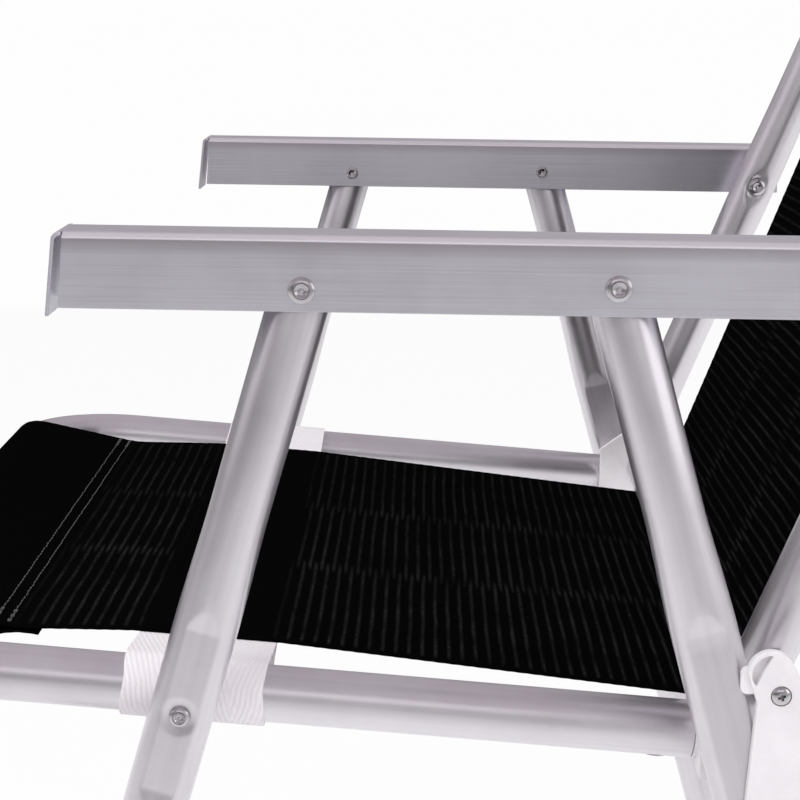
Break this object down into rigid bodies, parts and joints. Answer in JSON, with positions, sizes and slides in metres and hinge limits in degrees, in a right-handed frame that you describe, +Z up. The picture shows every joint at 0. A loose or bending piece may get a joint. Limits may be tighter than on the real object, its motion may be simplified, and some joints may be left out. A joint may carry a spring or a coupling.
{
  "type": "folding lawn chair",
  "caption": "Folding lawn chair with bent aluminium tube frames, channel arms, plastic hinge brackets, a mesh sling seat and back, and a webbing strap under the seat.",
  "frame": {"origin": "on the floor under the middle of the opened chair's box", "axes": "+Z up, the chair faces -Y, +X towards the sitter's left arm"},
  "size_m": [0.565, 0.6106, 0.872],
  "materials": {
    "tube": "satin",
    "arm": "brushed lengthwise",
    "rivet": "satin",
    "steel": "zinc plated",
    "plastic": "fine satin moulding",
    "mesh": "ribbed coated mesh",
    "webbing": "herringbone webbing"
  },
  "bodies": {
    "seat": {"seat_frame": "tube", "seat_rear_bar": "tube", "hinge_bracket_left": "plastic", "hinge_bracket_right": "plastic", "sling_seat": "mesh", "seat_strap": "webbing", "rail_rivet_left": "rivet", "rail_rivet_right": "rivet", "hinge_screw_left": "steel", "hinge_screw_right": "steel", "hinge_nut_left": "steel", "hinge_nut_right": "steel", "seat_pivot_rivet_left": "rivet", "seat_pivot_rivet_right": "rivet", "seat_pivot_spacer_left": "plastic", "seat_pivot_spacer_right": "plastic"},
    "back": {"back_frame": "tube", "sling_back": "mesh"},
    "arms": {"arm_left": "arm", "arm_right": "arm", "arm_front_rivet_left": "rivet", "arm_front_rivet_right": "rivet", "arm_rear_rivet_left": "rivet", "arm_rear_rivet_right": "rivet", "arm_back_rivet_left": "rivet", "arm_back_rivet_right": "rivet", "arm_back_washer_left": "plastic", "arm_back_washer_right": "plastic"},
    "front_legs": {"front_leg_frame": "tube", "front_foot_left": "plastic", "front_foot_right": "plastic"},
    "rear_legs": {"rear_leg_frame": "tube", "rear_foot_left": "plastic", "rear_foot_right": "plastic"}
  },
  "joints": [
    {"name": "back_fold", "type": "hinge", "parent": "seat", "child": "back", "pos_m": [0, 0.11549, 0.4172], "axis": [1, 0, 0], "range_deg": [0, 95]},
    {"name": "front_leg_fold", "type": "hinge", "parent": "seat", "child": "front_legs", "pos_m": [0, -0.13701, 0.4012], "axis": [1, 0, 0], "range_deg": [0, 90]},
    {"name": "arm_fold", "type": "hinge", "parent": "back", "child": "arms", "pos_m": [0, 0.18119, 0.5823], "axis": [1, 0, 0], "range_deg": [-91, 0]},
    {"name": "rear_leg_fold", "type": "hinge", "parent": "arms", "child": "rear_legs", "pos_m": [0, 0.04139, 0.5877], "axis": [1, 0, 0], "range_deg": [0, 57]}
  ],
  "couplings": [
    {"joint": "front_leg_fold", "follows": "back_fold", "ratio": 0.942},
    {"joint": "arm_fold", "follows": "back_fold", "ratio": -0.9555},
    {"joint": "rear_leg_fold", "follows": "back_fold", "ratio": 0.598}
  ]
}
